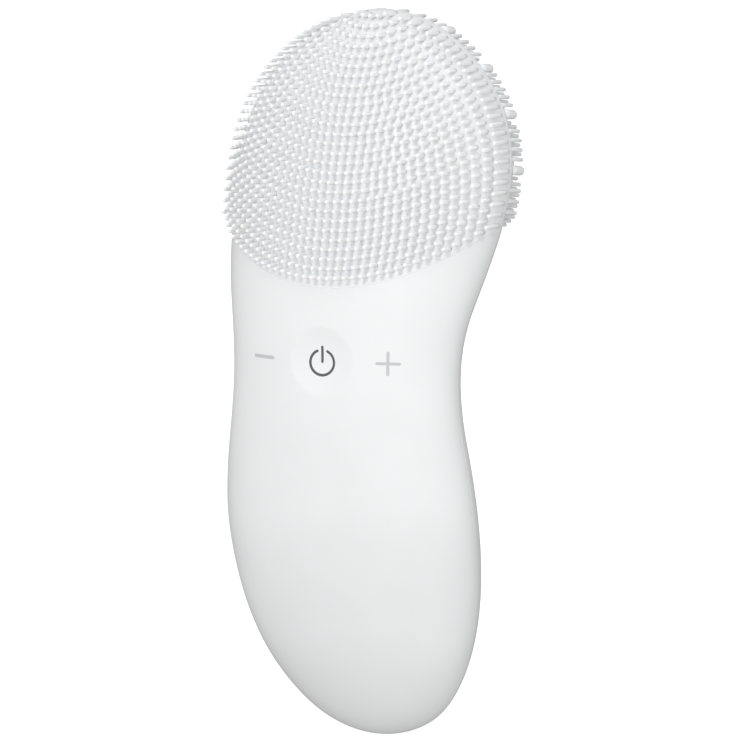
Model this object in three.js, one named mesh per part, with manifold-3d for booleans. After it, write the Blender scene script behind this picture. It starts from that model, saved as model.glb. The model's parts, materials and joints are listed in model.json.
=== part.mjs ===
// Facial cleansing brush: a soft-skinned hand unit with a bristled round head,
// three front buttons and a vibration motor. Millimetres, +Z up, front faces -Y.
import * as THREE from 'three';
import { mergeVertices } from 'three/addons/utils/BufferGeometryUtils.js';
import Module from 'manifold-3d';

const wasm = await Module();
wasm.setup();

// ---- driving dimensions ----------------------------------------------------
// Body stations from the bottom up: height, half width, depth of the side
// crease, front bulge / half width, rear bulge / half width.
const STATIONS = [
  [0, 0, 25.2, 0.5, 0.6],
  [2.3, 9.8, 24.8, 0.5, 0.6],
  [6.2, 14.7, 23.2, 0.49, 0.6],
  [15.8, 20.9, 19.6, 0.48, 0.63],
  [25.3, 24.1, 16.9, 0.47, 0.65],
  [34.7, 25.6, 14.6, 0.465, 0.65],
  [44.2, 26.0, 12.55, 0.465, 0.65],
  [54, 25.25, 11.35, 0.465, 0.63],
  [63, 24.0, 10.5, 0.465, 0.61],
  [72, 23.4, 10.45, 0.465, 0.6],
  [81, 24.2, 11.4, 0.47, 0.58],
  [90, 26.25, 14.8, 0.52, 0.56],
  [99, 27.75, 19.1, 0.57, 0.54],
  [108, 28.5, 22.3, 0.6, 0.5],
  [116, 27.7, 24.2, 0.6, 0.44],
  [124, 24.8, 25.4, 0.6, 0.39],
  [130, 20.4, 26.0, 0.6, 0.36],
  [135, 14.9, 26.4, 0.6, 0.36],
  [138.6, 8.0, 26.7, 0.6, 0.36],
  [140, 0, 26.8, 0.6, 0.36],
];
const HEIGHT = 140;
const REAR_POWER = 1.1; // how sharply the rear half meets the crease
const WIDTH_REFERENCE = 26; // half width that insets are measured at
const INSET_FADE = 14; // half width below which an inset fades to nothing

const GAP = 0.3; // clearance between neighbouring pieces
const SKIN = 2.0; // silicone skin thickness
const FRAME_OUT = SKIN + GAP; // inset of the hard frame's outer face
const FRAME_IN = 3.8; // inset of the hard frame's inner face
const CORE_OUT = FRAME_IN + GAP; // inset of everything carried inside

const SEAM_LOW = 89.5; // lowest height of the U-shaped seam below the bristles
const SEAM_RADIUS = 43; // seam arc seen from the front
const FIELD_MARGIN = 1.6; // bristle field stops this far inside the rim
const FRONT_BRISTLE = 3.1; // front bristle length
const REAR_BRISTLE = 3.6; // rear bristle and nub length

const BUTTON_Z = 75.5;
const POWER_RADIUS = 6.2;
const POWER_DISH = 1.1; // depth of the dish in the power button
const SIDE_X = 13.1; // minus and plus buttons left and right of the middle
const SIDE_RADIUS = 4.2;
const CAP_DEPTH = 3.3;
const SIDE_CAP_DEPTH = 2.7;
const STEM_RADIUS = 1.2;
const POWER_STEM = 5.5; // depth of each stem's end below the skin
const SIDE_STEM = 3.9;

const BOARD = { width: 29, height: 38, thick: 1.2, front: 7.9, z: 71 };
const SWITCH = { side: 4.5, thick: 1.5 };
const SCREW = { x: 11.4, dz: 15.2, head: 1.7, shank: 0.9 };
const PLATE_HALF = 0.8; // half thickness of the inner plates

const BATTERY = { width: 19, length: 33, thick: 6, z: 44, tilt: 0.19 };
const FOAM_THICK = 1.2;

const MOTOR = { y: 19.5, z: 98, length: 15, radius: 4.5, bore: 1.05 };
const SHAFT = { radius: 0.75, z: 109, length: 11.5 };
const WEIGHT = { radius: 4, z: 114.6, length: 5 };
const DAMPER = { radius: 6.2, z: 100, length: 10 };
const BRACKET = { width: 17, depth: 15, z: 100.6, length: 8.8 };
const WINDOW = { half: 9.2, low: 95.5, high: 122.5 };

const CHARGE = { z: 30, radius: 8, recess: 1.25, pinX: 3.5, pinRadius: 1.2 };

// ---- materials -------------------------------------------------------------
const look = (color, roughness, metalness = 0) =>
  new THREE.MeshStandardMaterial({ color, roughness, metalness });
const silicone = look(0xeceeef, 0.45);
const buttonSilicone = look(0xe6e8e9, 0.45);
const hardPlastic = look(0xdfe2e4, 0.5);
const darkPlastic = look(0x2c2e31, 0.5);
const boardGreen = look(0x1f6b45, 0.55);
const steel = look(0xb9bdc1, 0.3, 1);
const goldContact = look(0xd8b25a, 0.25, 1);
const foilWrap = look(0x9aa3ab, 0.4);
const foamGrey = look(0x55585c, 0.95);
const softRubber = look(0x3a3d40, 0.8);
const clearPlastic = look(0xf4f6f2, 0.2);

// ---- solids ----------------------------------------------------------------
function solidFrom(geometry) {
  const bare = geometry.index ? geometry.clone() : geometry;
  bare.deleteAttribute('normal');
  bare.deleteAttribute('uv');
  const merged = mergeVertices(bare, 1e-4);
  const mesh = new wasm.Mesh({
    numProp: 3,
    vertProperties: new Float32Array(merged.attributes.position.array),
    triVerts: new Uint32Array(merged.index.array),
  });
  return new wasm.Manifold(mesh);
}

function geometryFrom(solid) {
  const mesh = solid.getMesh();
  const geometry = new THREE.BufferGeometry();
  geometry.setAttribute('position', new THREE.BufferAttribute(mesh.vertProperties, 3));
  geometry.setIndex(new THREE.BufferAttribute(mesh.triVerts, 1));
  geometry.computeVertexNormals();
  return geometry;
}

const group = new THREE.Group();
function addSolid(name, solid, material) {
  const mesh = new THREE.Mesh(geometryFrom(solid), material);
  mesh.name = name;
  group.add(mesh);
}

// A cylinder from one point to another.
function rod(radius, from, to, sides = 24) {
  const along = new THREE.Vector3().subVectors(to, from);
  const geometry = new THREE.CylinderGeometry(radius, radius, along.length(), sides);
  const up = new THREE.Vector3(0, 1, 0);
  const turn = new THREE.Quaternion().setFromUnitVectors(up, along.clone().normalize());
  geometry.applyQuaternion(turn);
  const middle = new THREE.Vector3().addVectors(from, to).multiplyScalar(0.5);
  geometry.translate(middle.x, middle.y, middle.z);
  return solidFrom(geometry);
}

function block(width, depth, height, x, y, z, tilt = 0) {
  const geometry = new THREE.BoxGeometry(width, depth, height);
  geometry.rotateX(tilt);
  geometry.translate(x, y, z);
  return solidFrom(geometry);
}

const point = (x, y, z) => new THREE.Vector3(x, y, z);

// ---- body surface ----------------------------------------------------------
// Smooth curve through one column of the stations.
function curveThrough(column, z) {
  const last = STATIONS.length - 1;
  const value = (i) => (column === 1 ? STATIONS[i][1] ** 2 : STATIONS[i][column]);
  const slope = (i) => {
    const a = Math.max(0, i - 1);
    const b = Math.min(last, i + 1);
    return (value(b) - value(a)) / (STATIONS[b][0] - STATIONS[a][0]);
  };
  let i = 0;
  while (i < last - 1 && z > STATIONS[i + 1][0]) i += 1;
  const span = STATIONS[i + 1][0] - STATIONS[i][0];
  const t = Math.min(1, Math.max(0, (z - STATIONS[i][0]) / span));
  const rise = t * t * (3 - 2 * t);
  const cubic =
    value(i) * (1 - rise) +
    value(i + 1) * rise +
    slope(i) * span * t * (1 - t) * (1 - t) +
    slope(i + 1) * span * t * t * (t - 1);
  return column === 1 ? Math.sqrt(Math.max(0, cubic)) : cubic;
}

const halfWidth = (z) => curveThrough(1, z);
const creaseY = (z) => curveThrough(2, z);

// One closed section of the body at a height, pulled in by an inset.
function section(z, inset, columns) {
  const width = halfWidth(z);
  const fade = Math.min(1, width / INSET_FADE);
  const front = width * curveThrough(3, z) - inset * fade;
  const rear = width * curveThrough(4, z) - inset * fade;
  const half = width * (1 - inset / WIDTH_REFERENCE);
  const level = HEIGHT / 2 + (z - HEIGHT / 2) * (1 - inset / (HEIGHT / 2));
  const ring = [];
  for (let j = 0; j < columns; j += 1) {
    const angle = (2 * Math.PI * j) / columns;
    const c = Math.cos(angle);
    const bulge = c > 0 ? -front * c : rear * Math.abs(c) ** REAR_POWER;
    ring.push([half * Math.sin(angle), creaseY(z) + bulge, level]);
  }
  return ring;
}

function bodySolid(inset, columns, rings) {
  const points = [];
  const faces = [];
  const bottom = [0, creaseY(0), inset];
  const top = [0, creaseY(HEIGHT), HEIGHT - inset];
  points.push(...bottom);
  for (let i = 1; i < rings; i += 1) {
    const z = (HEIGHT * (1 - Math.cos((Math.PI * i) / rings))) / 2;
    for (const p of section(z, inset, columns)) points.push(...p);
  }
  points.push(...top);
  const at = (i, j) => 1 + (i - 1) * columns + (j % columns);
  const topIndex = 1 + (rings - 1) * columns;
  for (let j = 0; j < columns; j += 1) {
    faces.push(0, at(1, j), at(1, j + 1));
    faces.push(topIndex, at(rings - 1, j + 1), at(rings - 1, j));
    for (let i = 1; i < rings - 1; i += 1) {
      faces.push(at(i, j), at(i + 1, j), at(i + 1, j + 1));
      faces.push(at(i, j), at(i + 1, j + 1), at(i, j + 1));
    }
  }
  for (let k = 0; k < faces.length; k += 3) {
    [faces[k + 1], faces[k + 2]] = [faces[k + 2], faces[k + 1]];
  }
  const geometry = new THREE.BufferGeometry();
  geometry.setAttribute('position', new THREE.Float32BufferAttribute(points, 3));
  geometry.setIndex(faces);
  return solidFrom(geometry);
}

// Everything between two offsets of the crease surface, as a wide slab.
function creaseSlab(fromOffset, toOffset) {
  const low = -6;
  const high = HEIGHT + 6;
  const steps = 24;
  const near = [];
  const far = [];
  for (let i = 0; i <= steps; i += 1) {
    const z = low + ((high - low) * i) / steps;
    const y = creaseY(Math.min(HEIGHT, Math.max(0, z)));
    near.push(new THREE.Vector2(fromOffset === null ? -40 : y + fromOffset, z));
    far.push(new THREE.Vector2(toOffset === null ? 90 : y + toOffset, z));
  }
  const shape = new THREE.Shape([...near, ...far.reverse()]);
  const geometry = new THREE.ExtrudeGeometry(shape, { depth: 90, bevelEnabled: false });
  geometry.translate(0, 0, -45);
  const basis = new THREE.Matrix4().makeBasis(point(0, 1, 0), point(0, 0, 1), point(1, 0, 0));
  geometry.applyMatrix4(basis);
  return solidFrom(geometry);
}

// An outline in the X-Z plane pushed through the whole depth.
function throughFront(outline) {
  const shape = new THREE.Shape(outline);
  const geometry = new THREE.ExtrudeGeometry(shape, { depth: 160, bevelEnabled: false });
  geometry.translate(0, 0, -90);
  const basis = new THREE.Matrix4().makeBasis(point(1, 0, 0), point(0, 0, 1), point(0, -1, 0));
  geometry.applyMatrix4(basis);
  return solidFrom(geometry);
}

const seamHeight = (x, lift) =>
  SEAM_LOW + lift + SEAM_RADIUS - Math.sqrt(SEAM_RADIUS ** 2 - x * x);

// Everything above the U-shaped seam.
function headRegion(lift) {
  const reach = 36;
  const steps = 18;
  const outline = [];
  for (let i = 0; i <= steps; i += 1) {
    const x = -reach + (2 * reach * i) / steps;
    outline.push(new THREE.Vector2(x, seamHeight(x, lift)));
  }
  outline.push(new THREE.Vector2(reach, HEIGHT + 20), new THREE.Vector2(-reach, HEIGHT + 20));
  return throughFront(outline);
}

// The round zone that carries bristles, a margin inside the rim and the seam.
function fieldRegion(margin) {
  const right = [];
  const steps = 18;
  const top = HEIGHT - margin;
  const low = seamHeight(halfWidth(SEAM_LOW + 10) - margin, margin);
  for (let i = 0; i <= steps; i += 1) {
    const z = low + (top - low) * Math.sin((Math.PI * i) / (2 * steps));
    const width = halfWidth(z + (margin * (z - low)) / (top - low));
    right.push(new THREE.Vector2(Math.max(0, width - margin * (1 - i / steps)), z));
  }
  right[steps].x = 0;
  const left = right.slice(0, steps).reverse().map((p) => new THREE.Vector2(-p.x, p.y));
  const seam = [];
  const reach = right[0].x;
  for (let i = 1; i < 12; i += 1) {
    const x = -reach + (2 * reach * i) / 12;
    seam.push(new THREE.Vector2(x, seamHeight(x, margin)));
  }
  return throughFront([...right, ...left, ...seam]);
}

// Front surface depth and its inward direction at a point of the face.
function frontAt(x, z) {
  const width = halfWidth(z);
  const bulge = width * curveThrough(3, z);
  const root = Math.sqrt(1 - (x / width) ** 2);
  const y = creaseY(z) - bulge * root;
  const slope = ((bulge / width) * (x / width)) / root;
  return { at: point(x, y, z), inward: point(-slope, 1, 0).normalize() };
}

const along = (place, distance) => place.at.clone().addScaledVector(place.inward, distance);

// ---- skins, pads and frames --------------------------------------------------
const outer = bodySolid(0, 36, 28);
const skinInner = bodySolid(SKIN, 24, 20);
const frameOuter = bodySolid(FRAME_OUT, 24, 20);
const frameInner = bodySolid(FRAME_IN, 20, 16);
const core = bodySolid(CORE_OUT, 20, 16);

const places = {
  power: frontAt(0, BUTTON_Z),
  minus: frontAt(-SIDE_X, BUTTON_Z),
  plus: frontAt(SIDE_X, BUTTON_Z),
};
const buttonRadius = { power: POWER_RADIUS, minus: SIDE_RADIUS, plus: SIDE_RADIUS };

function buttonHoles() {
  return Object.keys(places)
    .map((key) => rod(buttonRadius[key] + GAP, along(places[key], -4), along(places[key], 7), 20))
    .reduce((all, hole) => all.add(hole));
}

// Place on the lower back where the charging contacts sit.
function chargePlace() {
  const back = (z) => creaseY(z) + halfWidth(z) * curveThrough(4, z);
  const slope = (back(CHARGE.z + 1) - back(CHARGE.z - 1)) / 2;
  return { at: point(0, back(CHARGE.z), CHARGE.z), inward: point(0, -1, slope).normalize() };
}
const charge = chargePlace();
const chargeHole = () => rod(CHARGE.radius + GAP, along(charge, -6), along(charge, 7), 20);

function addSkins() {
  const skin = outer.subtract(skinInner);
  const front = skin.intersect(creaseSlab(null, -GAP / 2));
  const rear = skin.intersect(creaseSlab(GAP / 2, null));
  const above = headRegion(GAP / 2);
  const aboveAndGap = headRegion(-GAP / 2);
  addSolid('front_brush_pad', front.intersect(above), silicone);
  addSolid('rear_massage_pad', rear.intersect(above), silicone);
  addSolid('front_shell', front.subtract(aboveAndGap).subtract(buttonHoles()), silicone);
  addSolid('rear_shell', rear.subtract(aboveAndGap).subtract(chargeHole()), silicone);
}

function addBristleFields() {
  const zone = fieldRegion(FIELD_MARGIN);
  const coarse = bodySolid(0, 24, 20);
  const frontField = coarse
    .translate([0, -FRONT_BRISTLE, 0])
    .intersect(zone)
    .intersect(creaseSlab(null, -1))
    .subtract(outer.translate([0, -GAP, 0]))
    .subtract(outer);
  const rearField = coarse
    .translate([0, REAR_BRISTLE, 0])
    .intersect(zone)
    .intersect(creaseSlab(1, null))
    .subtract(outer.translate([0, GAP, 0]))
    .subtract(outer);
  addSolid('front_bristle_field', frontField, silicone);
  addSolid('rear_nub_field', rearField, silicone);
}

function addFrames() {
  const wall = frameOuter.subtract(frameInner);
  const front = wall.intersect(creaseSlab(null, -0.75));
  const rear = wall.intersect(creaseSlab(0.75, null));
  addSolid('front_frame', front.subtract(buttonHoles()), hardPlastic);
  addSolid('rear_frame', rear.subtract(chargeHole()), hardPlastic);
  addSolid('rim_gasket', wall.intersect(creaseSlab(-0.45, 0.45)), softRubber);
}

// ---- buttons -----------------------------------------------------------------
function addButtons() {
  for (const key of Object.keys(places)) {
    const place = places[key];
    const depth = key === 'power' ? CAP_DEPTH : SIDE_CAP_DEPTH;
    const stemEnd = key === 'power' ? POWER_STEM : SIDE_STEM;
    let cap = rod(buttonRadius[key], along(place, -4), along(place, depth), 20).intersect(outer);
    if (key === 'power') {
      const ball = (POWER_RADIUS ** 2 + POWER_DISH ** 2) / (2 * POWER_DISH);
      const sphere = new THREE.SphereGeometry(ball, 40, 30);
      const centre = along(place, POWER_DISH - ball);
      sphere.translate(centre.x, centre.y, centre.z);
      cap = cap.subtract(solidFrom(sphere));
    }
    const stem = rod(STEM_RADIUS, along(place, depth - 0.5), along(place, stemEnd), 16);
    addSolid(`${key}_button`, cap.add(stem), buttonSilicone);
  }
}

// ---- inside: plates, board, battery ------------------------------------------
function addPlates() {
  const plate = core.intersect(creaseSlab(-PLATE_HALF, PLATE_HALF));
  const lowerCut = block(80, 80, 82.5, 0, 20, 51.25);
  let chassis = plate.intersect(lowerCut);
  for (const x of [-SCREW.x, SCREW.x]) {
    for (const z of [BOARD.z - SCREW.dz, BOARD.z + SCREW.dz]) {
      const front = BOARD.front + BOARD.thick + GAP;
      chassis = chassis.add(rod(2.2, point(x, front, z), point(x, creaseY(z) + 0.3, z), 16));
      chassis = chassis.subtract(rod(1.2, point(x, front - 1, z), point(x, front + 2.6, z), 12));
    }
  }
  addSolid('chassis_plate', chassis, hardPlastic);
  const window = WINDOW.high - WINDOW.low;
  const carrier = plate
    .intersect(block(80, 80, 60, 0, 20, 122.8))
    .subtract(block(2 * WINDOW.half, 40, window, 0, 20, (WINDOW.high + WINDOW.low) / 2));
  addSolid('head_carrier', carrier, hardPlastic);
}

function addBoard() {
  const middle = BOARD.front + BOARD.thick / 2;
  let board = block(BOARD.width, BOARD.thick, BOARD.height, 0, middle, BOARD.z);
  let number = 1;
  for (const z of [BOARD.z - SCREW.dz, BOARD.z + SCREW.dz]) {
    for (const x of [-SCREW.x, SCREW.x]) {
      board = board.subtract(rod(1.2, point(x, 4, z), point(x, 12, z), 12));
      const seat = BOARD.front - GAP;
      const head = rod(SCREW.head, point(x, seat - 0.9, z), point(x, seat, z), 12);
      const shank = rod(SCREW.shank, point(x, seat - 0.5, z), point(x, seat + 3.6, z), 8);
      addSolid(`board_screw_${number}`, head.add(shank), steel);
      number += 1;
    }
  }
  addSolid('circuit_board', board, boardGreen);
  const switchX = { power: 0, minus: -SIDE_X + 1, plus: SIDE_X - 1 };
  for (const key of Object.keys(switchX)) {
    const y = BOARD.front - GAP - SWITCH.thick / 2;
    const body = block(SWITCH.side, SWITCH.thick, SWITCH.side, switchX[key], y, BUTTON_Z);
    addSolid(`${key}_switch`, body, darkPlastic);
  }
  addSolid('status_led', block(1.6, 0.8, 1.6, 0, BOARD.front - GAP - 0.4, 84), clearPlastic);
}

// The cell and its pad lie behind the chassis plate and follow its slope.
function addBattery() {
  const tilt = Math.atan(BATTERY.tilt);
  const base = creaseY(BATTERY.z) + PLATE_HALF + 1.3;
  const normal = point(0, Math.cos(tilt), Math.sin(tilt));
  const foamAt = point(0, base, BATTERY.z).addScaledVector(normal, FOAM_THICK / 2);
  const cellOffset = FOAM_THICK + GAP + BATTERY.thick / 2;
  const cellAt = point(0, base, BATTERY.z).addScaledVector(normal, cellOffset);
  const size = [BATTERY.width, BATTERY.length];
  const foam = block(size[0], FOAM_THICK, size[1], 0, foamAt.y, foamAt.z, tilt);
  const cell = block(size[0], BATTERY.thick, size[1], 0, cellAt.y, cellAt.z, tilt);
  addSolid('battery_foam', foam, foamGrey);
  addSolid('battery_cell', cell, foilWrap);
}

// ---- inside: motor -------------------------------------------------------------
function addMotor() {
  const { y } = MOTOR;
  const end = MOTOR.z + MOTOR.length;
  const can = rod(MOTOR.radius, point(0, y, MOTOR.z), point(0, y, end), 28);
  const bore = rod(MOTOR.bore, point(0, y, end - 5), point(0, y, end + 1), 16);
  addSolid('motor_can', can.subtract(bore), steel);
  const shaftEnd = SHAFT.z + SHAFT.length;
  addSolid('motor_shaft', rod(SHAFT.radius, point(0, y, SHAFT.z), point(0, y, shaftEnd), 16), steel);

  const half = new THREE.Shape();
  half.absarc(0, 0, WEIGHT.radius, Math.PI, 2 * Math.PI, false);
  half.lineTo(1.8, 1.4);
  half.lineTo(-1.8, 1.4);
  const slug = { depth: WEIGHT.length, bevelEnabled: false, curveSegments: 14 };
  const weight = new THREE.ExtrudeGeometry(half, slug);
  weight.translate(0, y, WEIGHT.z);
  const eye = rod(MOTOR.bore, point(0, y, WEIGHT.z - 1), point(0, y, WEIGHT.z + 9), 16);
  addSolid('eccentric_weight', solidFrom(weight).subtract(eye), steel);

  const damperEnd = DAMPER.z + DAMPER.length;
  const sleeve = rod(DAMPER.radius, point(0, y, DAMPER.z), point(0, y, damperEnd), 28);
  const inside = rod(MOTOR.radius + GAP, point(0, y, 90), point(0, y, 130), 28);
  addSolid('motor_damper', sleeve.subtract(inside), softRubber);
  const middle = BRACKET.z + BRACKET.length / 2;
  const housing = block(BRACKET.width, BRACKET.depth, BRACKET.length, 0, y, middle);
  const seat = rod(DAMPER.radius + GAP, point(0, y, 90), point(0, y, 130), 28);
  addSolid('motor_bracket', housing.subtract(seat), hardPlastic);
}

// ---- charging contacts -----------------------------------------------------------
function addCharging() {
  let plate = rod(CHARGE.radius, along(charge, CHARGE.recess), along(charge, 3.25), 20);
  for (const [name, x] of [['left', -CHARGE.pinX], ['right', CHARGE.pinX]]) {
    const side = { at: charge.at.clone().setX(x), inward: charge.inward };
    plate = plate.subtract(rod(CHARGE.pinRadius + GAP, along(side, -2), along(side, 8), 18));
    const pin = rod(CHARGE.pinRadius, along(side, CHARGE.recess - 0.25), along(side, 4.6), 18);
    addSolid(`charging_pin_${name}`, pin, goldContact);
  }
  addSolid('charging_plate', plate, darkPlastic);
}

addSkins();
addBristleFields();
addFrames();
addButtons();
addPlates();
addBoard();
addBattery();
addMotor();
addCharging();

// The origin is the middle of the overall box at its lowest point.
const overall = new THREE.Box3().setFromObject(group);
group.position.set(0, -(overall.min.y + overall.max.y) / 2, -overall.min.z);

export default group;
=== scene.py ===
"""Looks for the facial cleansing brush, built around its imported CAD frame."""

import json
import math

import bpy
import numpy as np
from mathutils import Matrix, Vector


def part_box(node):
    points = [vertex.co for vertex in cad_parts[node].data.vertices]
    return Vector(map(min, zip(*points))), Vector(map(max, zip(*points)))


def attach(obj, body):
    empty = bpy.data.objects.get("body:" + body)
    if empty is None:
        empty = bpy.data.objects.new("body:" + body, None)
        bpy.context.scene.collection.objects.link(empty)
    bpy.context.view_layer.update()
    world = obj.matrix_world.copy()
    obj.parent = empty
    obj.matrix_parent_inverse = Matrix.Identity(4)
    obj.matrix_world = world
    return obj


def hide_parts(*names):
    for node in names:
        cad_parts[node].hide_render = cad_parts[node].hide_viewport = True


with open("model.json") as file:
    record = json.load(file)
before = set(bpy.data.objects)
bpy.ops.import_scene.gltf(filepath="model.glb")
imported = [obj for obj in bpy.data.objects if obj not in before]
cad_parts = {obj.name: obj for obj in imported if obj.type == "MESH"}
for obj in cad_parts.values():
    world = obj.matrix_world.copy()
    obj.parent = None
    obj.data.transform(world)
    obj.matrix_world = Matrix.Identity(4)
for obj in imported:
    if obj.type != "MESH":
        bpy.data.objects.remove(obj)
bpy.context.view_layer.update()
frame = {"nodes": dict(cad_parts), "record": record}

MM = 0.001

# ---- the body's shape, in millimetres, as in the CAD source --------------------------
# Height, half width, depth of the side crease, front bulge / half width,
# rear bulge / half width.
STATIONS = np.array([
    [0, 0, 25.2, 0.5, 0.6],
    [2.3, 9.8, 24.8, 0.5, 0.6],
    [6.2, 14.7, 23.2, 0.49, 0.6],
    [15.8, 20.9, 19.6, 0.48, 0.63],
    [25.3, 24.1, 16.9, 0.47, 0.65],
    [34.7, 25.6, 14.6, 0.465, 0.65],
    [44.2, 26.0, 12.55, 0.465, 0.65],
    [54, 25.25, 11.35, 0.465, 0.63],
    [63, 24.0, 10.5, 0.465, 0.61],
    [72, 23.4, 10.45, 0.465, 0.6],
    [81, 24.2, 11.4, 0.47, 0.58],
    [90, 26.25, 14.8, 0.52, 0.56],
    [99, 27.75, 19.1, 0.57, 0.54],
    [108, 28.5, 22.3, 0.6, 0.5],
    [116, 27.7, 24.2, 0.6, 0.44],
    [124, 24.8, 25.4, 0.6, 0.39],
    [130, 20.4, 26.0, 0.6, 0.36],
    [135, 14.9, 26.4, 0.6, 0.36],
    [138.6, 8.0, 26.7, 0.6, 0.36],
    [140, 0, 26.8, 0.6, 0.36],
])
HEIGHT = 140.0
REAR_POWER = 1.1
SEAM_LOW = 89.5
SEAM_RADIUS = 43.0
SEAM_REACH = 40  # the seam runs level beyond this far to each side
BUTTON_Z = 75.5
SIDE_X = 13.1
BOARD_FRONT = 7.9
BOARD_LOW = 52.0
CHARGE_Z = 30.0

# The CAD frame's origin is the middle of the object's box, so everything is
# shifted by where the circuit board is found.
_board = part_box("circuit_board")[0]
SHIFT_Y = _board.y / MM - BOARD_FRONT
SHIFT_Z = _board.z / MM - BOARD_LOW

# ---- skins and buttons ---------------------------------------------------------------
COLUMNS = 190  # points across a skin
GRIP_ROWS = 250
PAD_ROWS = 200
POLE_GAP = 0.001  # skins stop this far from the body's two ends
EDGE = 0.14  # rounding of skin edges
EDGE_STEPS = 4
LIP = 1.6  # how far skin edges turn in
CREASE_GAP = 0.01
SEAM_PASSES = 60  # rounds that bring a skin's columns to the seam
PAD_OVERLAP = 0.12  # the pads lap over the grip's edge along the seam
PAD_RISE = -0.12  # the pads lie this far below the grip's skin
# The pad's fine raised rim along the seam: distance up from its edge, rise.
PAD_LIP = ((0.0, 0.07), (0.22, 0.07), (0.36, -0.02), (0.5, PAD_RISE))

DISH_RADIUS = 6.6
DISH_DEPTH = 1.0
DISH_POWER = 1.1
POWER_RADIUS = 6.2
SIDE_RADIUS = 4.2
HOLE_DEPTH = 2.2
HOLE_FLARE = 1.02  # holes widen inwards by this much, so that the buttons travel freely
HOLE_RINGS = 7
POWER_PATCH = 7.6  # half the width of the part of the grip's grid that a hole takes up
SIDE_PATCH = 5.1
CHARGE_PATCH = 10.0
CAP_RINGS = 26
SKIRT_DEPTH = 2.6
SKIRT_SHARE = 0.985  # the skirt's width below a button's cap

# ---- charging contacts ---------------------------------------------------------------
CHARGE_RADII = (8.3, 8.2)
CHARGE_WALL = (0, -2.2, -0.35)  # the way in from the rear skin, to the bottom of the hole
PIN_X = 3.5
# Distance in from the skin, radius.
PLATE_PROFILE = ((1.25, 7.6), (1.28, 7.78), (1.37, 7.92), (1.55, 8.0), (3.25, 8.0))
PIN_PROFILE = ((0.8, 0.3), (0.81, 0.6), (0.86, 0.9), (0.98, 1.1), (1.15, 1.18), (1.3, 1.2),
               (4.6, 1.2))

# ---- bristles ------------------------------------------------------------------------
HEAD_MIDDLE = 112.0
TOP_MARGIN = 0.4  # bristles stay this far below the top
SEAM_MARGIN = 0.9  # and this far above the seam
FRONT_MARGIN = 0.12  # and this far inside the rim
REAR_MARGIN = 0.35
NUB_MARGIN = 0.9
ROW_LOW = 91.2  # height of the lowest arc of bristles on the front
REAR_ROW_LOW = 93.2
ROW_PITCH = 1.77
ROW_CENTRE = 152.0  # height of the middle of the arcs near the top
ROW_LEVEL = 132.0  # below this height the arcs' middles come down
ROW_DROP = 15.5
ROW_TURN = 1.4  # an arc reaches at most this far to each side, in radians
ROW_REACH = 34  # and this far along itself
ROW_SAMPLES = 3000
BRISTLE_PITCH = 1.71
NUB_LOW = 100.4
NUB_PITCH = 10.6
NUB_CLEARANCE = 1.75  # rear bristles stay this far from a nub's middle
BRISTLE_LENGTH = 2.9
BRISTLE_BASE = 0.48
BRISTLE_TIP = 0.4
BRISTLE_SIDES = 10
BRISTLE_FAN = 0.04  # how far bristles turn from straight towards the skin's normal
BRISTLE_TILT = math.radians(2)  # the front bristles point forwards and this much up
RIM_EXTRA = 2.3  # bristles at the rim are this much longer
# That is full where the pad faces forwards by the first share, and none by the second.
RIM_FACING = (0.22, 0.45)
REAR_LENGTH = 3.7
REAR_FAN = 0.08
REAR_TILT = math.radians(8)  # the rear ones point backwards and this much down
NUB_SIDES = 20
ROD_FOOT = 4  # rings of a rod that stay at its root when it is longer

# ---- printed symbols -----------------------------------------------------------------
PRINT_LIFT = 0.015
RING_RADII = (2.5, 2.38)
RING_GAP = math.radians(25)
RING_STEPS = 90
POWER_LINE = (0, 0.15, 0, 2.95)
POWER_STROKE = 0.51
POWER_SHIFT = (-0.08, -0.35)  # where a symbol's middle lies from its button's
MINUS_HALF = 2.2  # half the length of the lines
MINUS_STROKE = 0.64
MINUS_SHIFT = (0.2, -0.1)
PLUS_HALF = 2.05
PLUS_STROKE = 0.55
PLUS_SHIFT = (0.2, 0.1)
END_STEPS = 8  # steps round a stroke's end

# ---- studio and camera ---------------------------------------------------------------
SKY_TOWARDS = (0.42, -0.86, 0.28)
SKY_LOW = 0.1
SKY_LEVEL = 0.72
SKY_HIGH = 1.15
KEY_POWER = 2.3
KEY_SIZE = 0.14
KEY_DISTANCE = 1.0
KEY_AZIMUTH = math.radians(5)
KEY_ELEVATION = math.radians(32)
FLOOR_HALF = 8
FLOOR_GLOW = 0.8
AZIMUTH = math.radians(27)
ELEVATION = math.radians(8)
DISTANCE = 1.5
SCALE = 5.3  # picture points per millimetre at the object
PICTURE = 750
SENSOR = 36
AIM_Y = 0.164
AIM_RIGHT = 0.01009  # metres from the buttons to the middle of the view
AIM_UP = -0.00264
STUDIO_MIDDLE = Vector((0, 0, 0.075))


# ---- body surface --------------------------------------------------------------------
def column_curve(column, z):
    """The CAD's curve through one column of the stations."""
    value = STATIONS[:, column].copy()
    if column == 1:
        value = value**2
    height = STATIONS[:, 0]
    last = len(height) - 1
    before = np.maximum(0, np.arange(last + 1) - 1)
    after = np.minimum(last, np.arange(last + 1) + 1)
    slope = (value[after] - value[before]) / (height[after] - height[before])
    i = np.clip(np.searchsorted(height, z, side="right") - 1, 0, last - 1)
    span = height[i + 1] - height[i]
    t = np.clip((z - height[i]) / span, 0, 1)
    rise = t * t * (3 - 2 * t)
    return (
        value[i] * (1 - rise)
        + value[i + 1] * rise
        + slope[i] * span * t * (1 - t) ** 2
        + slope[i + 1] * span * t * t * (t - 1)
    )


STEP = 0.1
REACH = 30.0  # the fine grid runs on this far past both ends
WIDTH_SMOOTHING = 2.2
CREASE_SMOOTHING = 3.0
BULGE_SMOOTHING = 4.0
_grid = np.arange(-REACH, HEIGHT + REACH + STEP / 2, STEP)


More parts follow.
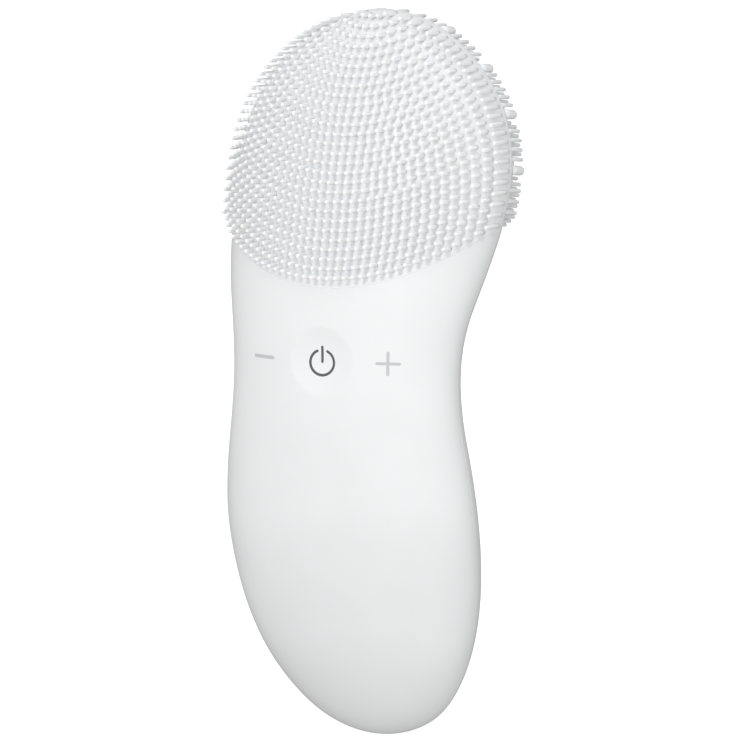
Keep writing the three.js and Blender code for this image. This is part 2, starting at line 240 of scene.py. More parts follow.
def smoothed(column, sigma):
    """The same curve with its small corners rounded off, on the fine grid."""
    inside = np.clip(_grid, 0, HEIGHT)
    if column == 1:
        mirrored = np.where(_grid > HEIGHT, 2 * HEIGHT - _grid, np.abs(_grid))
        sign = np.where((_grid < 0) | (_grid > HEIGHT), -1, 1)
        value = sign * column_curve(column, mirrored)
    else:
        value = column_curve(column, inside)
    offsets = np.arange(-4 * sigma, 4 * sigma + STEP / 2, STEP)
    weight = np.exp(-0.5 * (offsets / sigma) ** 2)
    return np.convolve(value, weight / weight.sum(), mode="same")


_width2 = smoothed(1, WIDTH_SMOOTHING)
_crease = smoothed(2, CREASE_SMOOTHING)
_front = smoothed(3, BULGE_SMOOTHING)
_rear = smoothed(4, BULGE_SMOOTHING)


def half_width(z):
    return np.sqrt(np.maximum(0, np.interp(z, _grid, _width2)))


def crease_y(z):
    return np.interp(z, _grid, _crease)


def front_bulge(z):
    return half_width(z) * np.interp(z, _grid, _front)


def rear_bulge(z):
    return half_width(z) * np.interp(z, _grid, _rear)


def dish_depth(x, z):
    r2 = (x**2 + (z - BUTTON_Z) ** 2) / DISH_RADIUS**2
    return DISH_DEPTH * np.maximum(0, 1 - r2) ** DISH_POWER


def front_y(x, z):
    """Depth of the front skin at a point of the front view."""
    u = np.clip(x / np.maximum(half_width(z), 1e-6), -1, 1)
    return crease_y(z) - front_bulge(z) * np.sqrt(1 - u * u) + dish_depth(x, z)


def rear_y(x, z):
    u = np.clip(x / np.maximum(half_width(z), 1e-6), -1, 1)
    return crease_y(z) + rear_bulge(z) * np.sqrt(1 - u * u) ** REAR_POWER


def seam_height(x):
    aside = np.minimum(np.abs(x), SEAM_REACH)
    return SEAM_LOW + SEAM_RADIUS - np.sqrt(SEAM_RADIUS**2 - aside**2)


def normals_of(surface, x, z, side):
    """Outward normals of a skin; side is -1 for the front and 1 for the rear."""
    d = 0.02
    dx = (surface(x + d, z) - surface(x - d, z)) / (2 * d)
    dz = (surface(x, z + d) - surface(x, z - d)) / (2 * d)
    n = np.stack([-dx * side, np.full_like(dx, side), -dz * side], axis=-1)
    return n / np.linalg.norm(n, axis=-1, keepdims=True)


# ---- mesh making ---------------------------------------------------------------------
def to_row(points):
    """Body millimetres to the row frame's metres."""
    points = np.asarray(points, float).reshape(-1, 3)
    return (points + np.array([0, SHIFT_Y, SHIFT_Z])) * MM


def add_mesh(name, points, faces, material, body="body"):
    mesh = bpy.data.meshes.new(name)
    mesh.from_pydata(to_row(points).tolist(), [], [list(map(int, f)) for f in faces])
    mesh.update()
    mesh.shade_smooth()
    mesh.materials.append(material)
    piece = bpy.data.objects.new(name, mesh)
    bpy.context.scene.collection.objects.link(piece)
    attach(piece, body)
    return piece


def stitch(faces, previous, current, flip):
    """Adds the band of faces between two closed rings of points."""
    count = len(previous)
    for j in range(count):
        a, b = previous[j], previous[(j + 1) % count]
        c, d = current[(j + 1) % count], current[j]
        faces.append((a, b, c, d) if flip else (d, c, b, a))


def add_ring(points, ring):
    """Adds a ring of points and returns their numbers."""
    start = len(points)
    points.extend(ring.tolist())
    return list(range(start, len(points)))


def sheet_faces(grid, flip, skipped=()):
    """Faces over a grid of point numbers, without the skipped blocks."""
    faces = []
    for i in range(len(grid) - 1):
        for j in range(COLUMNS - 1):
            if any(b[0] <= i < b[1] and b[2] <= j < b[3] for b in skipped):
                continue
            a, b, c, d = grid[i][j], grid[i][j + 1], grid[i + 1][j + 1], grid[i + 1][j]
            faces.append((d, c, b, a) if flip else (a, b, c, d))
    return faces


# ---- skins ---------------------------------------------------------------------------
def angle_limit(z, side):
    """Angle at which a skin stops, just short of the crease."""
    bulge = front_bulge(z) if side < 0 else rear_bulge(z)
    room = np.clip((EDGE + CREASE_GAP) / np.maximum(bulge, 1e-6), 0, 1)
    return np.arccos(room ** (1 if side < 0 else 1 / REAR_POWER))


def seam_line(share, side, lift):
    """Height of the seam, lifted by an amount, along the columns of a skin."""
    z = np.full_like(share, SEAM_LOW + 3)
    for _ in range(SEAM_PASSES):
        x = half_width(z) * np.sin(share * angle_limit(z, side))
        z = 0.5 * z + 0.5 * (seam_height(x) + lift)
    return z


def on_skin(share, z, side, rise=0.0):
    """Points of a skin from a column share, -1 to 1, and a height."""
    angle = share * angle_limit(z, side)
    x = half_width(z) * np.sin(angle)
    surface = front_y if side < 0 else rear_y
    y = surface(x, z) + side * rise * np.cos(angle)
    return np.stack([x, y, z], axis=-1)


def crease_normal(z, sign):
    d = 0.01
    slope = (half_width(z + d) - half_width(z - d)) / (2 * d)
    n = np.stack([sign * np.ones_like(z), np.zeros_like(z), -slope], axis=-1)
    return n / np.linalg.norm(n, axis=-1, keepdims=True)


def seam_frame(points, side, up):
    """Outward normals along a seam edge, and the direction from the skin across the seam."""
    x, z = points[:, 0], points[:, 2]
    n = normals_of(front_y if side < 0 else rear_y, x, z, side)
    across = np.stack([-x, 0 * x, np.sqrt(SEAM_RADIUS**2 - x * x)], axis=-1) * up
    across -= n * np.sum(across * n, axis=-1, keepdims=True)
    return n, across / np.linalg.norm(across, axis=-1, keepdims=True)


def turn_in(points, faces, loop, outward, across, flip):
    """Rounds off the skin's open edge and turns it into the body."""
    edge = np.array([points[k] for k in loop])
    rings = []
    for k in range(1, EDGE_STEPS + 1):
        t = 0.5 * math.pi * k / EDGE_STEPS
        rings.append(edge - outward * EDGE * (1 - math.cos(t)) + across * EDGE * math.sin(t))
    rings.append(rings[-1] - outward * LIP)
    previous = list(loop)
    for ring in rings:
        current = add_ring(points, ring)
        stitch(faces, previous, current, flip)
        previous = current


def hole_patch(points, faces, grid, block, centre, radii, surface, wall, flip):
    """Replaces a block of a skin's grid by rings that run from the block's edge to a round
    hole, with a wall that goes in from the hole's edge. Returns the hole's own ring."""
    i0, i1, j0, j1 = block
    border = [grid[i0][j] for j in range(j0, j1)]
    border += [grid[i][j1] for i in range(i0, i1)]
    border += [grid[i1][j] for j in range(j1, j0, -1)]
    border += [grid[i][j0] for i in range(i1, i0, -1)]
    outer = np.array([points[k] for k in border])[:, [0, 2]]
    away_x, away_z = (outer[:, 0] - centre[0]) / radii[0], (outer[:, 1] - centre[1]) / radii[1]
    angle = np.arctan2(away_z, away_x)
    inner = np.stack([
        centre[0] + radii[0] * np.cos(angle),
        centre[1] + radii[1] * np.sin(angle),
    ], axis=-1)
    previous = border
    for k in range(1, HOLE_RINGS + 1):
        flat = outer + (inner - outer) * k / HOLE_RINGS
        depth = surface(flat[:, 0], flat[:, 1])
        current = add_ring(points, np.stack([flat[:, 0], depth, flat[:, 1]], axis=-1))
        stitch(faces, previous, current, flip)
        previous = current
    rim = np.array([points[k] for k in previous])
    middle = rim.mean(axis=0)
    bottom = middle + (rim - middle) * HOLE_FLARE + np.array(wall)
    wall_top = add_ring(points, rim)
    stitch(faces, wall_top, add_ring(points, bottom), flip)
    return rim


def nearest(values, target):
    return int(np.argmin(np.abs(np.asarray(values) - target)))


def grid_block(points, grid, hole):
    """The rows and columns of a skin's grid that a hole's surroundings take up."""
    x0, z0 = hole["centre"]
    if x0:
        beside = [nearest([points[k][0] for k in row], x0) for row in grid]
    else:
        beside = [COLUMNS // 2] * len(grid)
    row = nearest([points[r[j]][2] for r, j in zip(grid, beside)], z0)
    xs = [points[k][0] for k in grid[row]]
    column = nearest(xs, x0)
    zs = [points[r[column]][2] for r in grid]
    half = hole["half"]
    return (nearest(zs, z0 - half), nearest(zs, z0 + half),
            nearest(xs, x0 - half), nearest(xs, x0 + half))


def grip_skin(name, side, material, holes):
    """The grip's front or rear skin, from the tip up to the seam, with round holes."""
    share = np.linspace(-1, 1, COLUMNS)
    top = seam_line(share, side, -EDGE - CREASE_GAP / 2)
    tip = POLE_GAP
    points, grid = [], []
    for i in range(1, GRIP_ROWS + 1):
        z = tip + (top - tip) * (1 - math.cos(0.5 * math.pi * i / GRIP_ROWS))
        grid.append(add_ring(points, on_skin(share, z, side)))
    pole = len(points)
    points.append(on_skin(np.array([0.0]), np.array([tip]), side)[0].tolist())
    blocks = [grid_block(points, grid, hole) for hole in holes]
    flip = side > 0
    faces = sheet_faces(grid, flip, blocks)
    for j in range(COLUMNS - 1):
        a, b = grid[0][j], grid[0][j + 1]
        faces.append((a, b, pole) if flip else (pole, b, a))
    surface = front_y if side < 0 else rear_y
    rims = []
    for hole, block in zip(holes, blocks):
        rims.append(hole_patch(points, faces, grid, block, hole["centre"], hole["radii"],
                               surface, hole["wall"], not flip))
    right = [row[-1] for row in grid]
    left = [row[0] for row in grid]
    seam = grid[-1][::-1]
    loop = [pole] + right + seam[1:-1] + left[::-1]
    p = np.array(points)
    across = np.zeros((len(loop), 3))
    outward = np.zeros((len(loop), 3))
    outward[0] = (0, 0, -1)
    across[0] = (0, -side, 0)
    n_right = len(right)
    outward[1:n_right + 1] = crease_normal(p[right][:, 2], 1)
    across[1:n_right + 1] = (0, -side, 0)
    outward[-n_right:] = crease_normal(p[left[::-1]][:, 2], -1)
    across[-n_right:] = (0, -side, 0)
    n, t = seam_frame(p[grid[-1]], side, 1)
    n, t = n[::-1], t[::-1]
    outward[n_right + 1:-n_right] = n[1:-1]
    across[n_right + 1:-n_right] = t[1:-1]
    across[n_right] += t[0]
    across[-n_right] += t[-1]
    turn_in(points, faces, loop, outward, across, flip)
    piece = add_mesh(name, points, faces, material)
    return piece, rims


def head_skin(name, side, material):
    """The head's front or rear pad, from the seam up to the top."""
    share = np.linspace(-1, 1, COLUMNS)
    low = seam_line(share, side, -PAD_OVERLAP)
    top = HEIGHT - POLE_GAP
    points, grid = [], []
    for distance, rise in PAD_LIP:
        grid.append(add_ring(points, on_skin(share, low + distance, side, rise)))
    above_lip = low + PAD_LIP[-1][0]
    for i in range(1, PAD_ROWS + 1):
        z = above_lip + (top - above_lip) * math.sin(0.5 * math.pi * i / (PAD_ROWS + 1))
        grid.append(add_ring(points, on_skin(share, z, side, PAD_RISE)))
    pole = len(points)
    points.append(on_skin(np.array([0.0]), np.array([top]), side)[0].tolist())
    flip = side > 0
    faces = sheet_faces(grid, flip)
    for j in range(COLUMNS - 1):
        a, b = grid[-1][j], grid[-1][j + 1]
        faces.append((pole, b, a) if flip else (a, b, pole))
    right = [row[-1] for row in grid]
    left = [row[0] for row in grid]
    seam = grid[0]
    loop = seam[:-1] + right + [pole] + left[:0:-1]
    p = np.array(points)
    outward = np.zeros((len(loop), 3))
    across = np.zeros((len(loop), 3))
    n, t = seam_frame(p[seam], side, -1)
    c = len(seam) - 1
    outward[:c], across[:c] = n[:-1], t[:-1]
    k = len(right)
    outward[c:c + k] = crease_normal(p[right][:, 2], 1)
    across[c:c + k] = (0, -side, 0)
    outward[c + k], across[c + k] = (0, 0, 1), (0, -side, 0)
    outward[c + k + 1:] = crease_normal(p[left[:0:-1]][:, 2], -1)
    across[c + k + 1:] = (0, -side, 0)
    outward[0], across[0] = crease_normal(p[left][:1, 2], -1)[0], t[0] + np.array([0, -side, 0])
    across[c] += t[-1]
    turn_in(points, faces, loop, outward, across, flip)
    return add_mesh(name, points, faces, material)


def button_cap(name, rim, middle, inward, material, body):
    """A button's cap, flush with the skin around its hole, with a skirt inside."""
    count = len(rim)
    points, faces = [], []
    previous = None
    for k in range(CAP_RINGS, 0, -1):
        flat = middle + (rim[:, [0, 2]] - middle) * k / CAP_RINGS
        y = front_y(flat[:, 0], flat[:, 1])
        current = add_ring(points, np.stack([flat[:, 0], y, flat[:, 1]], axis=-1))
        if previous:
            stitch(faces, previous, current, True)
        previous = current
    hub = len(points)
    points.append([middle[0], float(front_y(middle[:1], middle[1:])[0]), middle[1]])
    faces.extend((previous[j], previous[(j + 1) % count], hub) for j in range(count))
    centre = rim.mean(axis=0)
    skirt_top = add_ring(points, rim)
    skirt = centre + (rim - centre) * SKIRT_SHARE + np.array(inward) * SKIRT_DEPTH
    stitch(faces, skirt_top, add_ring(points, skirt), False)
    return add_mesh(name, points, faces, material, body)


# ---- bristles ------------------------------------------------------------------------
def rod_field(name, roots, directions, profile, sides, materials, extra=0.0):
    """Many rods in one mesh. profile is a list of (distance along, radius), and extra is
    how much longer each rod is than its profile. materials are the shafts' and the tips'."""
    extra = np.broadcast_to(np.asarray(extra, float), len(roots))[:, None]
    count = len(roots)
    along = directions / np.linalg.norm(directions, axis=1, keepdims=True)
    helper = np.array([0.0, 0.0, 1.0])
    first = np.cross(along, helper)
    first /= np.linalg.norm(first, axis=1, keepdims=True)
    second = np.cross(along, first)
    turn = 2 * np.pi * np.arange(sides) / sides
    rings = []
    for k, (distance, radius) in enumerate(profile[:-1]):
        centre = roots + along * (distance + extra * (k >= ROD_FOOT))
        rings.append(centre[:, None, :] + radius * (
            first[:, None, :] * np.cos(turn)[None, :, None]
            + second[:, None, :] * np.sin(turn)[None, :, None]))
    tips = roots + along * (profile[-1][0] + extra)
    layers = len(rings)
    per = layers * sides + 1
    stacked = np.concatenate([*rings, tips[:, None, :]], axis=1).reshape(-1, 3)
    # One rod's faces: its bands from the root up, then its end.
    one_rod = []
    for i in range(layers - 1):
        for j in range(sides):
            a, b = i * sides + j, i * sides + (j + 1) % sides
            one_rod.append((a, b, b + sides, a + sides))
    last = (layers - 1) * sides
    one_rod += [(last + j, last + (j + 1) % sides, layers * sides) for j in range(sides)]
    faces = [tuple(k * per + v for v in face) for k in range(count) for face in one_rod]
    piece = add_mesh(name, stacked, faces, materials[0])
    # Faces past the rod's foot take the second material, a paler copy of the shafts' silicone:
    # a painted highlight on the rod ends.
    piece.data.materials.append(materials[1])
    for k, face in enumerate(piece.data.polygons):
        face.material_index = int(k % len(one_rod) >= ROD_FOOT * sides)
    return piece


def inside_field(x, z, margin):
    """Whether roots lie inside the rim and above the seam."""
    z_out = z + TOP_MARGIN * np.maximum(0, z - HEAD_MIDDLE) / (HEIGHT - HEAD_MIDDLE)
    x_out = np.abs(x) + margin
    return (x_out <= half_width(np.minimum(z_out, HEIGHT))) & (z > seam_height(x) + SEAM_MARGIN)


def pad_front_y(x, z):
    u = np.clip(x / np.maximum(half_width(z), 1e-6), -1, 1)
    return front_y(x, z) - PAD_RISE * np.sqrt(1 - u * u)


def pad_rear_y(x, z):
    u = np.clip(x / np.maximum(half_width(z), 1e-6), -1, 1)
    return rear_y(x, z) + PAD_RISE * np.sqrt(1 - u * u)


def row_radius(height):
    """Radius of the bristle arc whose lowest point is at a height."""
    fall = max(0.0, ROW_LEVEL - height) / (ROW_LEVEL - ROW_LOW)
    return ROW_CENTRE - ROW_DROP * fall**2 - height


def arc_rows(lowest, row_pitch, pitch, margin):
    """Roots in arcs, each evenly filled from the middle to the rim as seen from the front.
    Returns their x and z."""
    rows = []
    for height in np.arange(lowest, HEIGHT, row_pitch):
        radius = row_radius(height)
        turn = np.linspace(0, min(ROW_TURN, ROW_REACH / radius), ROW_SAMPLES)
        x, z = radius * np.sin(turn), height + radius * (1 - np.cos(turn))
        good = inside_field(x, z, margin)
        if not good[0]:
            continue
        last = len(good) if good.all() else np.argmin(good)
        x, z = x[:last], z[:last]
        number = np.concatenate([[0], np.cumsum(np.hypot(np.diff(x), np.diff(z)) / pitch)])
        at = np.linspace(0, number[-1], max(1, round(number[-1])) + 1)
        x, z = np.interp(at, number, x), np.interp(at, number, z)
        rows.append((np.concatenate([-x[:0:-1], x]), np.concatenate([z[:0:-1], z])))
    return [np.concatenate(values) for values in zip(*rows)]


def rod_directions(surface, x, z, side, fan):
    n = normals_of(surface, x, z, side)
    tilt = BRISTLE_TILT if side < 0 else REAR_TILT
    straight = side * np.array([0.0, math.cos(tilt), -math.sin(tilt)])
    return (1 - fan) * straight + fan * n


def front_bristles(materials):
    x, z = arc_rows(ROW_LOW, ROW_PITCH, BRISTLE_PITCH, FRONT_MARGIN)
    roots = np.stack([x, pad_front_y(x, z), z], axis=-1)
    directions = rod_directions(pad_front_y, x, z, -1, BRISTLE_FAN)
    b, t, length = BRISTLE_BASE, BRISTLE_TIP, BRISTLE_LENGTH
    profile = [(-0.9, 0.02), (-0.8, b), (0.1, b + 0.02), (0.5, b - 0.03),
               (length - 0.38, t + 0.01), (length - 0.26, t * 0.93), (length - 0.12, t * 0.72),
               (length - 0.03, t * 0.38), (length, 0)]
    facing = np.abs(normals_of(pad_front_y, x, z, -1)[:, 1])
    full, none = RIM_FACING
    extra = RIM_EXTRA * np.clip((none - facing) / (none - full), 0, 1)
    return rod_field("front_bristles", roots, directions, profile, BRISTLE_SIDES, materials,
                     extra)


def rear_bristles(materials):
    """Arcs of slim bristles, with thicker round nubs standing among them."""
    x, z = arc_rows(REAR_ROW_LOW, ROW_PITCH, BRISTLE_PITCH, REAR_MARGIN)
    nub_x, nub_z = arc_rows(NUB_LOW, NUB_PITCH, NUB_PITCH, NUB_MARGIN)
    away = np.hypot(x[:, None] - nub_x[None, :], z[:, None] - nub_z[None, :]).min(axis=1)
    free = away > NUB_CLEARANCE
    x, z = x[free], z[free]
    length = REAR_LENGTH
    pieces = []
    for name, x, z, profile, sides in (
        ("rear_bristles", x, z,
         [(-0.8, 0.02), (-0.7, 0.45), (0.1, 0.46), (0.6, 0.44), (length - 0.36, 0.4),
          (length - 0.2, 0.34), (length - 0.07, 0.2), (length, 0)], BRISTLE_SIDES),
        ("rear_nubs", nub_x, nub_z,
         [(-1.1, 0.02), (-1.0, 1.0), (0.1, 1.02), (0.6, 0.98), (length - 0.95, 0.93),
          (length - 0.6, 0.85), (length - 0.25, 0.6), (length - 0.06, 0.3), (length, 0)],
         NUB_SIDES),
    ):
        roots = np.stack([x, pad_rear_y(x, z), z], axis=-1)
        directions = rod_directions(pad_rear_y, x, z, 1, REAR_FAN)
        pieces.append(rod_field(name, roots, directions, profile, sides, materials))
    return pieces


# ---- charging contacts ---------------------------------------------------------------
def turned(name, profile, centre, axis, material, sides=96):
    """A round piece from a profile of (distance inwards, radius) along its axis."""
    axis = Vector(axis).normalized()
    first = axis.orthogonal().normalized()
    second = axis.cross(first)
    points, faces = [], []
    for distance, radius in profile:
        for k in range(sides):
            turn = 2 * math.pi * k / sides
            points.append(Vector(centre) + axis * distance
                          + (first * math.cos(turn) + second * math.sin(turn)) * radius)
    for i in range(len(profile) - 1):
        for k in range(sides):
            a, b = i * sides + k, i * sides + (k + 1) % sides
            faces.append((b, a, a + sides, b + sides))
    faces.append(tuple(range(sides)))
    faces.append(tuple(range(len(points) - 1, len(points) - 1 - sides, -1)))
    return add_mesh(name, [tuple(p) for p in points], faces, material)


# ---- printed symbols -----------------------------------------------------------------
def stroke(path, width):
    """Outline mesh of a line with round ends, flat in the front view."""
    path = np.array(path, float)
    step = np.gradient(path, axis=0)
    step /= np.linalg.norm(step, axis=1, keepdims=True)
    side = np.stack([-step[:, 1], step[:, 0]], axis=-1) * width / 2
    count = len(path)
    points = list(path + side) + list(path - side) + [path[0], path[-1]]
    faces = [(i, count + i, count + i + 1, i + 1) for i in range(count - 1)]
    for end, sign in ((0, -1), (count - 1, 1)):
        hub = 2 * count + (0 if end == 0 else 1)
        start = len(points)
        for a in np.linspace(0, math.pi, END_STEPS + 1):
            along = sign * step[end] * width / 2
            points.append(path[end] + side[end] * math.cos(a) + along * math.sin(a))
        for k in range(END_STEPS):
            tri = (hub, start + k, start + k + 1)
            faces.append(tri if sign < 0 else tri[::-1])
    return np.array(points), faces


def symbol(name, strokes, centre, material, body):
    points, faces = [], []
    for path, width in strokes:
        p, f = stroke(path, width)
        start = len(points)
        x, z = p[:, 0] + centre[0], p[:, 1] + centre[1]
        points.extend(np.stack([x, front_y(x, z) - PRINT_LIFT, z], axis=-1).tolist())
        faces.extend(tuple(start + v for v in face) for face in f)
    return add_mesh(name, points, faces, material, body)


def line(x0, z0, x1, z1, steps=24):
    return [(x0 + (x1 - x0) * k / steps, z0 + (z1 - z0) * k / steps) for k in range(steps + 1)]


# ---- materials -----------------------------------------------------------------------
def material(name, colour, roughness, grain=0.0, grain_scale=900.0, vary=0.02, metallic=0.0,
             subsurface=0.0):
    """A moulded or metal surface: its colour drifts slightly by vary, its roughness changes
    with a fine grain, and the grain raises the surface too where it is given a strength."""
    m = bpy.data.materials.new(name)
    m.use_nodes = True
    nodes, links = m.node_tree.nodes, m.node_tree.links
    shader = nodes["Principled BSDF"]
    shader.inputs["Metallic"].default_value = metallic
    if subsurface:
        shader.inputs["Subsurface Weight"].default_value = subsurface
        shader.inputs["Subsurface Radius"].default_value = (1.0, 0.9, 0.8)
        shader.inputs["Subsurface Scale"].default_value = 0.0015
    where = nodes.new("ShaderNodeTexCoord")
    cloud = nodes.new("ShaderNodeTexNoise")
    cloud.inputs["Scale"].default_value = 45.0
    cloud.inputs["Detail"].default_value = 3.0
    links.new(where.outputs["Object"], cloud.inputs["Vector"])
    ramp = nodes.new("ShaderNodeValToRGB")
    ramp.color_ramp.elements[0].position = 0.35
    ramp.color_ramp.elements[1].position = 0.65
    low = [max(0.0, c * (1 - vary)) for c in colour]
    high = [min(1.0, c * (1 + vary)) for c in colour]
    ramp.color_ramp.elements[0].color = (*low, 1)
    ramp.color_ramp.elements[1].color = (*high, 1)
    links.new(cloud.outputs["Fac"], ramp.inputs["Fac"])
    links.new(ramp.outputs["Color"], shader.inputs["Base Color"])
    fine = nodes.new("ShaderNodeTexNoise")
    fine.inputs["Scale"].default_value = grain_scale
    fine.inputs["Detail"].default_value = 4.0
    links.new(where.outputs["Object"], fine.inputs["Vector"])
    spread = nodes.new("ShaderNodeMapRange")
    spread.inputs["To Min"].default_value = max(0.02, roughness - 0.05)
    spread.inputs["To Max"].default_value = min(1.0, roughness + 0.05)
    links.new(fine.outputs["Fac"], spread.inputs["Value"])
    links.new(spread.outputs["Result"], shader.inputs["Roughness"])
    if grain:
        bump = nodes.new("ShaderNodeBump")
        bump.inputs["Strength"].default_value = grain
        bump.inputs["Distance"].default_value = 0.00004
        links.new(fine.outputs["Fac"], bump.inputs["Height"])
        links.new(bump.outputs["Normal"], shader.inputs["Normal"])
    return m


skin = material("skin_silicone", (0.762, 0.767, 0.772), 0.42, grain=0.25)
# Paler than the grip's skin: painted fill light that lifts the shade among the bristles.
bristle = material("bristle_silicone_painted_fill", (0.89, 0.895, 0.9), 0.4, grain=0.1, vary=0.004,
                   subsurface=0.5)
# A paler copy of the bristles' silicone for their ends: a painted highlight on the tips.
bristle_painted_highlight = material("bristle_tip_painted_highlight", (0.965, 0.968, 0.97), 0.38, vary=0.004,
                       subsurface=0.8)
# Paler than the grip's skin: painted fill light against the shade among the bristles, which
# also makes the pad's lip at the seam show as a pale line.
pad = material("pad_silicone_painted_fill", (0.85, 0.855, 0.86), 0.42, grain=0.1, vary=0.004,
               subsurface=0.25)
cap = material("button_silicone", (0.762, 0.767, 0.772), 0.42, grain=0.25)
dark_print = material("dark_print", (0.085, 0.09, 0.095), 0.5)
pale_print = material("pale_print", (0.51, 0.515, 0.525), 0.5)
SLOT_LOOKS = {
    "skin": skin,
    "bristles": bristle,
    "button_skin": cap,
    "hard_plastic": material("hard_plastic", (0.72, 0.73, 0.74), 0.5, grain=0.3),
    "dark_rubber": material("dark_rubber", (0.04, 0.04, 0.045), 0.75, grain=0.4),
    "dark_plastic": material("dark_plastic", (0.03, 0.032, 0.035), 0.45, grain=0.3),
    "clear_plastic": material("clear_plastic", (0.85, 0.87, 0.84), 0.15),
    "board": material("board", (0.015, 0.14, 0.06), 0.4, grain=0.2),
    "steel": material("steel", (0.55, 0.56, 0.57), 0.3, grain=0.3, metallic=1.0),
    "foam": material("foam", (0.09, 0.095, 0.1), 0.95, grain=0.8, grain_scale=1800),
    "foil": material("foil", (0.4, 0.43, 0.46), 0.35, grain=0.4, metallic=0.8),
    "gold_contact": material("gold_contact", (0.8, 0.56, 0.2), 0.25, metallic=1.0),
}
slot_of = {s["node"]: s["material_slot"] for s in frame["record"]["subparts"]}
for node, piece in frame["nodes"].items():
    piece.data.materials.clear()
    piece.data.materials.append(SLOT_LOOKS[slot_of[node]])

# ---- building ------------------------------------------------------------------------
side_tilt = math.atan(float(
    (front_y(np.array([SIDE_X + 0.01]), np.array([BUTTON_Z]))
     - front_y(np.array([SIDE_X - 0.01]), np.array([BUTTON_Z])))[0]) / 0.02)
inwards = {
    "power": np.array([0, 1.0, 0]),
    "minus": np.array([math.sin(side_tilt), math.cos(side_tilt), 0]),
    "plus": np.array([-math.sin(side_tilt), math.cos(side_tilt), 0]),
}
side_radii = (SIDE_RADIUS * math.cos(side_tilt), SIDE_RADIUS)
buttons = {
    "power": {"centre": (0.0, BUTTON_Z), "radii": (POWER_RADIUS, POWER_RADIUS),
              "half": POWER_PATCH},
    "minus": {"centre": (-SIDE_X, BUTTON_Z), "radii": side_radii, "half": SIDE_PATCH},
    "plus": {"centre": (SIDE_X, BUTTON_Z), "radii": side_radii, "half": SIDE_PATCH},
}
for key, button in buttons.items():
    button["wall"] = inwards[key] * HOLE_DEPTH

grip_front, rims = grip_skin("grip_front_skin", -1, skin, list(buttons.values()))
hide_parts("front_shell")
for key, rim in zip(buttons, rims):
    middle = np.array(buttons[key]["centre"]) if key == "power" else rim.mean(axis=0)[[0, 2]]
    piece = button_cap(f"{key}_cap_skin", rim, middle, inwards[key], cap, f"{key}_cap")
    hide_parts(f"{key}_button")

charge_hole = {"centre": (0.0, CHARGE_Z), "radii": CHARGE_RADII, "half": CHARGE_PATCH,
               "wall": CHARGE_WALL}
grip_rear, _ = grip_skin("grip_rear_skin", 1, skin, [charge_hole])
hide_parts("rear_shell")

charge_x, charge_z = np.array([0.0]), np.array([CHARGE_Z])
charge_at = np.array([0.0, float(rear_y(charge_x, charge_z)[0]), CHARGE_Z])
charge_inward = -normals_of(rear_y, charge_x, charge_z, 1)[0]
plate = turned("charging_plate_smooth", PLATE_PROFILE, charge_at, charge_inward,
               SLOT_LOOKS["dark_plastic"])
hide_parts("charging_plate")
for key, x in (("left", -PIN_X), ("right", PIN_X)):
    pin = turned(f"charging_pin_{key}_smooth", PIN_PROFILE, charge_at + np.array([x, 0, 0]),
                 charge_inward, SLOT_LOOKS["gold_contact"])
    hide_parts(f"charging_pin_{key}")

pad_front = head_skin("front_pad_skin", -1, pad)
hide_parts("front_brush_pad")
pad_rear = head_skin("rear_pad_skin", 1, pad)
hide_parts("rear_massage_pad")

bristles = front_bristles((bristle, bristle_painted_highlight))
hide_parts("front_bristle_field")
for piece in rear_bristles((bristle, bristle_painted_highlight)):
    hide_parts("rear_nub_field")

turns = np.linspace(RING_GAP, 2 * math.pi - RING_GAP, RING_STEPS)
ring = [(RING_RADII[0] * math.sin(a), RING_RADII[1] * math.cos(a)) for a in turns]
symbol("power_symbol", [(ring, POWER_STROKE), (line(*POWER_LINE), POWER_STROKE)],
       (POWER_SHIFT[0], BUTTON_Z + POWER_SHIFT[1]), dark_print, "power_cap")
symbol("minus_symbol", [(line(-MINUS_HALF, 0, MINUS_HALF, 0), MINUS_STROKE)],
       (-SIDE_X + MINUS_SHIFT[0], BUTTON_Z + MINUS_SHIFT[1]), pale_print, "minus_cap")
symbol("plus_symbol", [(line(-PLUS_HALF, 0, PLUS_HALF, 0), PLUS_STROKE),
                       (line(0, -PLUS_HALF, 0, PLUS_HALF), PLUS_STROKE)],
       (SIDE_X + PLUS_SHIFT[0], BUTTON_Z + PLUS_SHIFT[1]), pale_print, "plus_cap")

# ---- floor, light and camera ---------------------------------------------------------
scene = bpy.context.scene
scene.view_settings.view_transform = "Standard"

floor_mesh = bpy.data.meshes.new("floor")
h = FLOOR_HALF
floor_mesh.from_pydata([(-h, -h, 0), (h, -h, 0), (h, h, 0), (-h, h, 0)], [], [(0, 1, 2, 3)])
floor = bpy.data.objects.new("floor", floor_mesh)
scene.collection.objects.link(floor)
floor_look = material("floor_paper", (0.6, 0.6, 0.6), 0.9, vary=0.004)
floor_shader = floor_look.node_tree.nodes["Principled BSDF"]
floor_shader.inputs["Emission Color"].default_value = (1, 1, 1, 1)
floor_shader.inputs["Emission Strength"].default_value = FLOOR_GLOW
floor_mesh.materials.append(floor_look)
floor.visible_diffuse = False
floor.visible_glossy = False

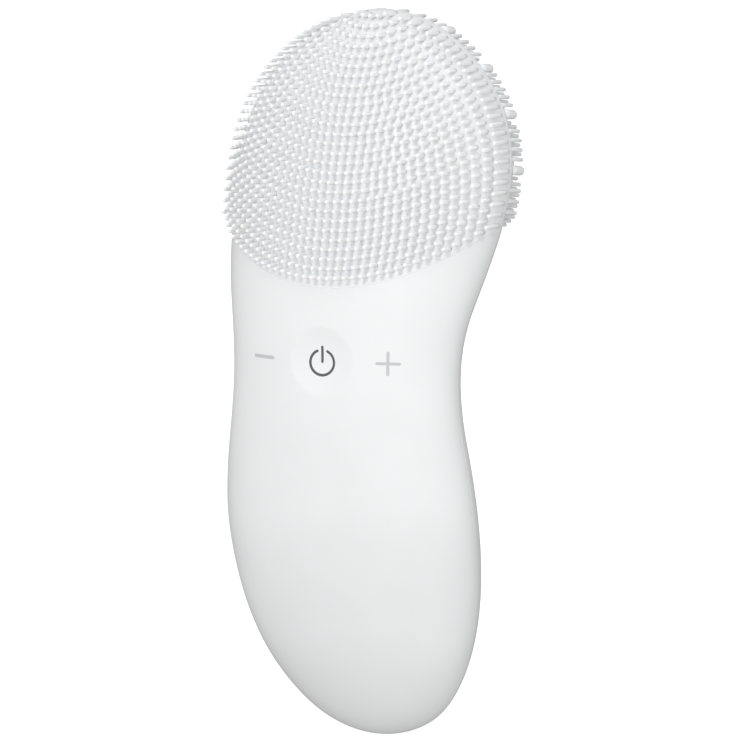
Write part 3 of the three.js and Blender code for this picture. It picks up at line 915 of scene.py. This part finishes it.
# A soft sky that is brightest high up in front and dims behind and below.
world = bpy.data.worlds.new("studio")
scene.world = world
world.use_nodes = True
sky_nodes, sky_links = world.node_tree.nodes, world.node_tree.links
sky_where = sky_nodes.new("ShaderNodeTexCoord")
sky_facing = sky_nodes.new("ShaderNodeVectorMath")
sky_facing.operation = "DOT_PRODUCT"
sky_facing.inputs[1].default_value = SKY_TOWARDS
sky_height = sky_nodes.new("ShaderNodeMapRange")
sky_height.inputs["From Min"].default_value = -1
sky_ramp = sky_nodes.new("ShaderNodeValToRGB")
sky_ramp.color_ramp.elements[0].position = 0.0
sky_ramp.color_ramp.elements[0].color = (SKY_LOW, SKY_LOW, SKY_LOW, 1)
sky_ramp.color_ramp.elements[1].position = 1.0
sky_ramp.color_ramp.elements[1].color = (SKY_HIGH, SKY_HIGH, SKY_HIGH, 1)
sky_middle = sky_ramp.color_ramp.elements.new(0.5)
sky_middle.color = (SKY_LEVEL, SKY_LEVEL, SKY_LEVEL, 1)
sky_links.new(sky_where.outputs["Generated"], sky_facing.inputs[0])
sky_links.new(sky_facing.outputs["Value"], sky_height.inputs["Value"])
sky_links.new(sky_height.outputs["Result"], sky_ramp.inputs["Fac"])
sky_links.new(sky_ramp.outputs["Color"], world.node_tree.nodes["Background"].inputs["Color"])

right = Vector((math.cos(AZIMUTH), math.sin(AZIMUTH), 0))
forward = Vector((-math.sin(AZIMUTH) * math.cos(ELEVATION),
                  math.cos(AZIMUTH) * math.cos(ELEVATION), -math.sin(ELEVATION)))
up = right.cross(forward)


def area_light(name, place, target, size, power):
    data = bpy.data.lights.new(name, "AREA")
    data.shape = "DISK"
    data.size = size
    data.energy = power
    lamp = bpy.data.objects.new(name, data)
    lamp.location = place
    lamp.rotation_euler = (Vector(target) - Vector(place)).to_track_quat("-Z", "Y").to_euler()
    scene.collection.objects.link(lamp)


key_from = Vector((math.sin(KEY_AZIMUTH) * math.cos(KEY_ELEVATION),
                   -math.cos(KEY_AZIMUTH) * math.cos(KEY_ELEVATION),
                   math.sin(KEY_ELEVATION)))
area_light("key", STUDIO_MIDDLE + key_from * KEY_DISTANCE, STUDIO_MIDDLE, KEY_SIZE,
           KEY_POWER)

camera_data = bpy.data.cameras.new("camera")
camera = bpy.data.objects.new("camera", camera_data)
scene.collection.objects.link(camera)
scene.camera = camera
camera_data.sensor_width = SENSOR
camera_data.lens = SENSOR * SCALE * DISTANCE * 1000 / PICTURE
camera_data.clip_start = 0.05
camera_data.clip_end = 50
aim = Vector(to_row([0, AIM_Y, BUTTON_Z])[0]) + right * AIM_RIGHT + up * AIM_UP
camera.location = aim - forward * DISTANCE
camera.rotation_euler = forward.to_track_quat("-Z", "Y").to_euler()
